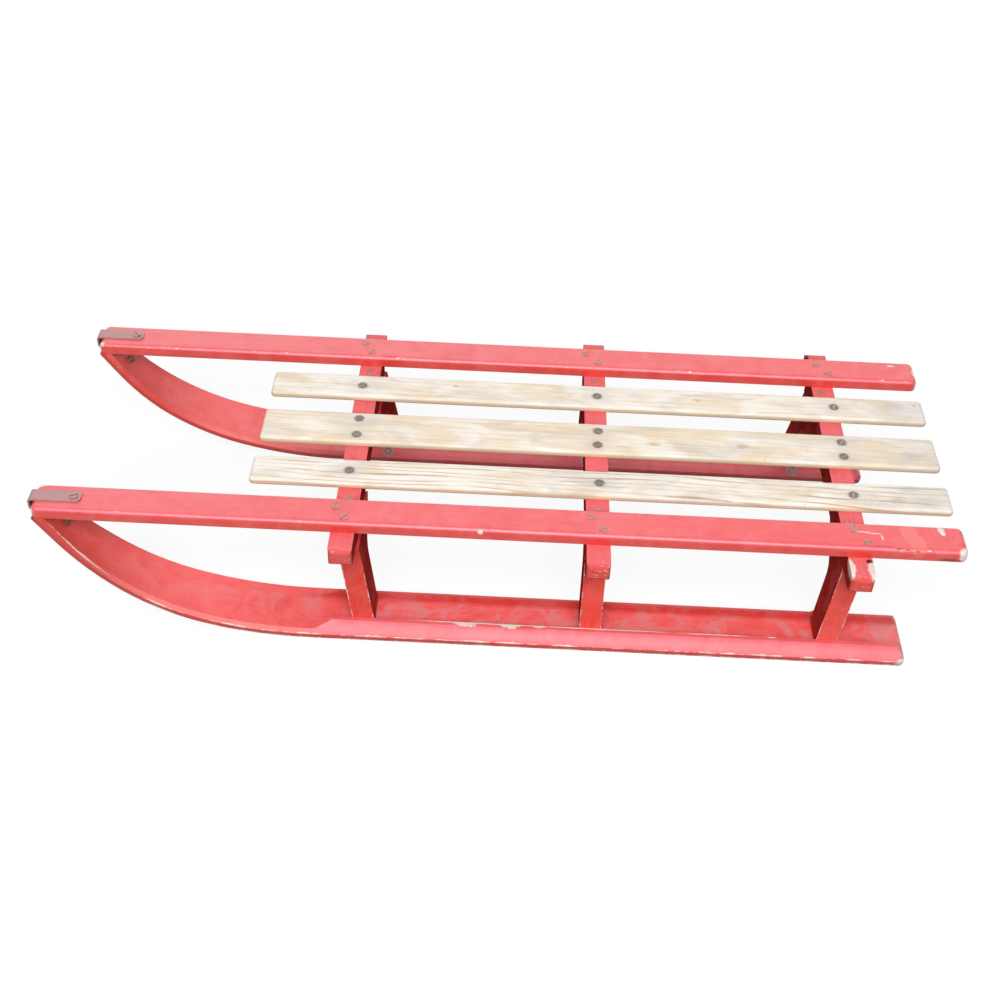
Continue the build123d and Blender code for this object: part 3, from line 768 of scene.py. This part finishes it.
# %% Slotted screw heads
def slotted_head(radius, rise):
    """Makes one slotted head around the origin, its wood at Z = 0, and returns it as a bmesh."""
    rim_width, shoulder_width, half_slot = radius * 0.2, radius * 0.3, radius * 0.14
    slot_floor, rim_foot = -rise * 0.6, -0.0012
    head = bmesh.new()
    bmesh.ops.create_circle(head, cap_ends=True, segments=28, radius=radius)
    bmesh.ops.inset_region(head, faces=head.faces[:], thickness=rim_width, depth=0)
    top = max(head.faces, key=lambda face: face.calc_area())
    bmesh.ops.translate(head, verts=top.verts[:], vec=(0, 0, rise))
    bmesh.ops.inset_region(head, faces=[top], thickness=shoulder_width, depth=0)
    top = max(head.faces, key=lambda face: face.calc_center_median().z)
    bmesh.ops.translate(head, verts=top.verts[:], vec=(0, 0, rise * 0.25))
    for side in (half_slot, -half_slot):
        everything = head.verts[:] + head.edges[:] + head.faces[:]
        bmesh.ops.bisect_plane(head, geom=everything, plane_co=(0, side, 0), plane_no=(0, 1, 0))
    strip = [face for face in head.faces if abs(face.calc_center_median().y) < half_slot]
    pushed = bmesh.ops.extrude_face_region(head, geom=strip)["geom"]
    bmesh.ops.delete(head, geom=strip, context="FACES_ONLY")
    for vert in (v for v in pushed if isinstance(v, bmesh.types.BMVert)):
        vert.co.z = slot_floor
    rim = [edge for edge in head.edges if edge.is_boundary]
    skirt = bmesh.ops.extrude_edge_only(head, edges=rim)["geom"]
    for vert in (v for v in skirt if isinstance(v, bmesh.types.BMVert)):
        vert.co.z = rim_foot
    bmesh.ops.recalc_face_normals(head, faces=head.faces[:])
    return head


def place_heads(name, head, places, material):
    """Copies a head to each place, a point, a normal and a turn in degrees, as one piece of the sled."""
    whole = bmesh.new()
    for point, normal, turn in places:
        copy = head.copy()
        upright = Vector(normal).to_track_quat("Z", "Y").to_matrix().to_4x4()
        turned = upright @ Matrix.Rotation(radians(turn), 4, "Z")
        copy.transform(Matrix.Translation(Vector(point) / 1000) @ turned)
        spare = bpy.data.meshes.new("spare")
        copy.to_mesh(spare)
        whole.from_mesh(spare)
        bpy.data.meshes.remove(spare)
        copy.free()
    mesh = bpy.data.meshes.new(name)
    whole.to_mesh(mesh)
    whole.free()
    head.free()
    mesh.materials.append(material)
    piece = bpy.data.objects.new(name, mesh)
    bpy.context.scene.collection.objects.link(piece)
    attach(piece, "root")
    print(name, "heads:", len(places), "faces:", len(mesh.polygons))


# %% [markdown]
# The screws' places were read off the photograph and lie on the pieces that they hold. Twelve are in
# the slats and twelve in the rails. Six smaller ones hold the crosspieces to the legs, and one sits on
# top of each strap.

# %% Screws
up = (0, 0, 1)
slat_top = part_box("slat_left")[1].z * 1000
rail_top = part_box("rail_left")[1].z * 1000
cross_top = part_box("crosspiece_middle")[1].z * 1000
strap_low, strap_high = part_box("strap_left")
strap_y = (strap_low.y + strap_high.y) * 500
strap_screw_x = strap_low.x * 1000 + 9
front_x, middle_x = bridge_x["front"], bridge_x["middle"]
slot_turns = (38, -12, 72, 15, 55, -40, 8, 64, 30, -25, 48, 80)
rail_screws = [
    (187.7, 155.3), (175.5, 173), (-110.2, 153), (-123.7, 173), (-414.6, 152), (-428.2, 173.5),
    (187.1, -170.6), (176.5, -151), (-106.5, -169.3), (-122.5, -151), (-414.3, -168.5), (-427.3, -151),
]
leg_screws = [(front_x, 124), (middle_x, 125), (rear_x + 4, 127),
              (front_x, -129), (middle_x, -129), (rear_x + 4, -128)]

place_heads("slat_screws", slotted_head(radius=0.0056, rise=0.0006),
            [((x, y, slat_top), up, turn) for (x, y), turn in zip(slat_screws, slot_turns)],
            screw_steel)
place_heads("rail_screws", slotted_head(radius=0.0050, rise=0.0005),
            [((x, y, rail_top), up, turn) for (x, y), turn in zip(rail_screws, reversed(slot_turns))],
            painted_steel)
place_heads("leg_screws", slotted_head(radius=0.0045, rise=0.0004),
            [((x, y, cross_top), up, turn) for (x, y), turn in zip(leg_screws, slot_turns)],
            painted_steel)
place_heads("strap_screws", slotted_head(radius=0.0052, rise=0.0012),
            [((strap_screw_x, side * strap_y, strap_high.z * 1000), up, turn)
             for side, turn in ((1, 25), (-1, -50))],
            strap_steel)

# %% [markdown]
# Bolts hold the straps and the feet of the legs. Through each strap and tip goes a bolt whose nut sits
# on the hollow side of the runner, with a washer under it. Each foot is pinned through the inner lip
# by a bolt with a domed head on a washer. The dome and washer are one profile spun round the axis, and
# a nut is a stack of three bevelled prisms.

# %% Bolt heads and nuts
def domed_head(radius, rise, washer):
    """Makes a washer with a domed bolt head on it, around the origin, by spinning a profile."""
    thick, edge = 0.0012, 0.0009
    head = bmesh.new()
    profile = [(washer, -thick), (washer, edge), (washer - 0.0004, thick), (radius, thick),
               (radius * 0.97, thick + rise * 0.35), (radius * 0.78, thick + rise * 0.75),
               (radius * 0.42, thick + rise * 0.96), (0, thick + rise)]
    verts = [head.verts.new((r, 0, z)) for r, z in profile]
    edges = [head.edges.new(pair) for pair in zip(verts, verts[1:])]
    bmesh.ops.spin(head, geom=verts + edges, cent=(0, 0, 0), axis=(0, 0, 1), angle=2 * pi, steps=24,
                   use_merge=True)
    bmesh.ops.remove_doubles(head, verts=head.verts[:], dist=1e-6)
    bmesh.ops.recalc_face_normals(head, faces=head.faces[:])
    return head


def nut_and_end(across, thick):
    """Makes a washer, a hexagon nut and the end of its bolt, around the origin."""
    washer_top = 0.0006
    stack = bmesh.new()
    prisms = [(24, across * 0.72, 0.0012, -0.0006), (6, across / sqrt(3), thick, washer_top),
              (20, across * 0.28, 0.0022, washer_top + thick)]
    for segments, radius, depth, start in prisms:
        before = set(stack.faces)
        bmesh.ops.create_cone(stack, cap_ends=True, segments=segments, radius1=radius, radius2=radius,
                              depth=depth, matrix=Matrix.Translation((0, 0, start + depth / 2)))
        top = max((f for f in stack.faces if f not in before), key=lambda f: f.calc_center_median().z)
        bmesh.ops.bevel(stack, geom=top.edges[:], offset=radius * 0.09, offset_type="OFFSET", segments=2,
                        profile=0.5, affect="EDGES", material=-1)
    bmesh.ops.recalc_face_normals(stack, faces=stack.faces[:])
    return stack


# %% [markdown]
# A foot bolt sits in the middle of the inner lip's bevel, which slopes at 45 degrees, so its normal
# points inwards and up. A strap bolt goes straight through the sloping tip of the runner: its head is
# outside, on the strap, and its nut is inside, on the board.

# %% Bolts
leg_half, foot_shift = 13, 1.5
bevel_y, bevel_z = 135.5, 13
foot_x = [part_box("leg_front_left")[0].x * 1000 + leg_half, middle_x,
          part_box("leg_rear_left")[1].x * 1000 - leg_half]
foot_places = [((x + foot_shift, side * bevel_y, bevel_z), (0, -side, 1), 0)
               for x in foot_x for side in (1, -1)]
place_heads("foot_bolts", domed_head(radius=0.0048, rise=0.0030, washer=0.0086), foot_places,
            painted_steel)

board, strap, from_tip = 11, 2, 38
tip = Vector((tip_x, 0, tip_z)) * 1000
outward = Vector((slope.z, 0, -slope.x))
bolt_point = tip - slope * from_tip
nut_places = []
bolt_places = []
for side in (1, -1):
    sideways = Vector((0, side * strap_y, 0))
    nut_places.append((bolt_point - outward * board + sideways, -outward, 20 * side))
    bolt_places.append((bolt_point + outward * strap + sideways, outward, 0))
place_heads("strap_nuts", nut_and_end(across=0.0085, thick=0.0045), nut_places, bolt_steel)
place_heads("strap_bolts", domed_head(radius=0.0046, rise=0.0024, washer=0.0058), bolt_places,
            strap_steel)
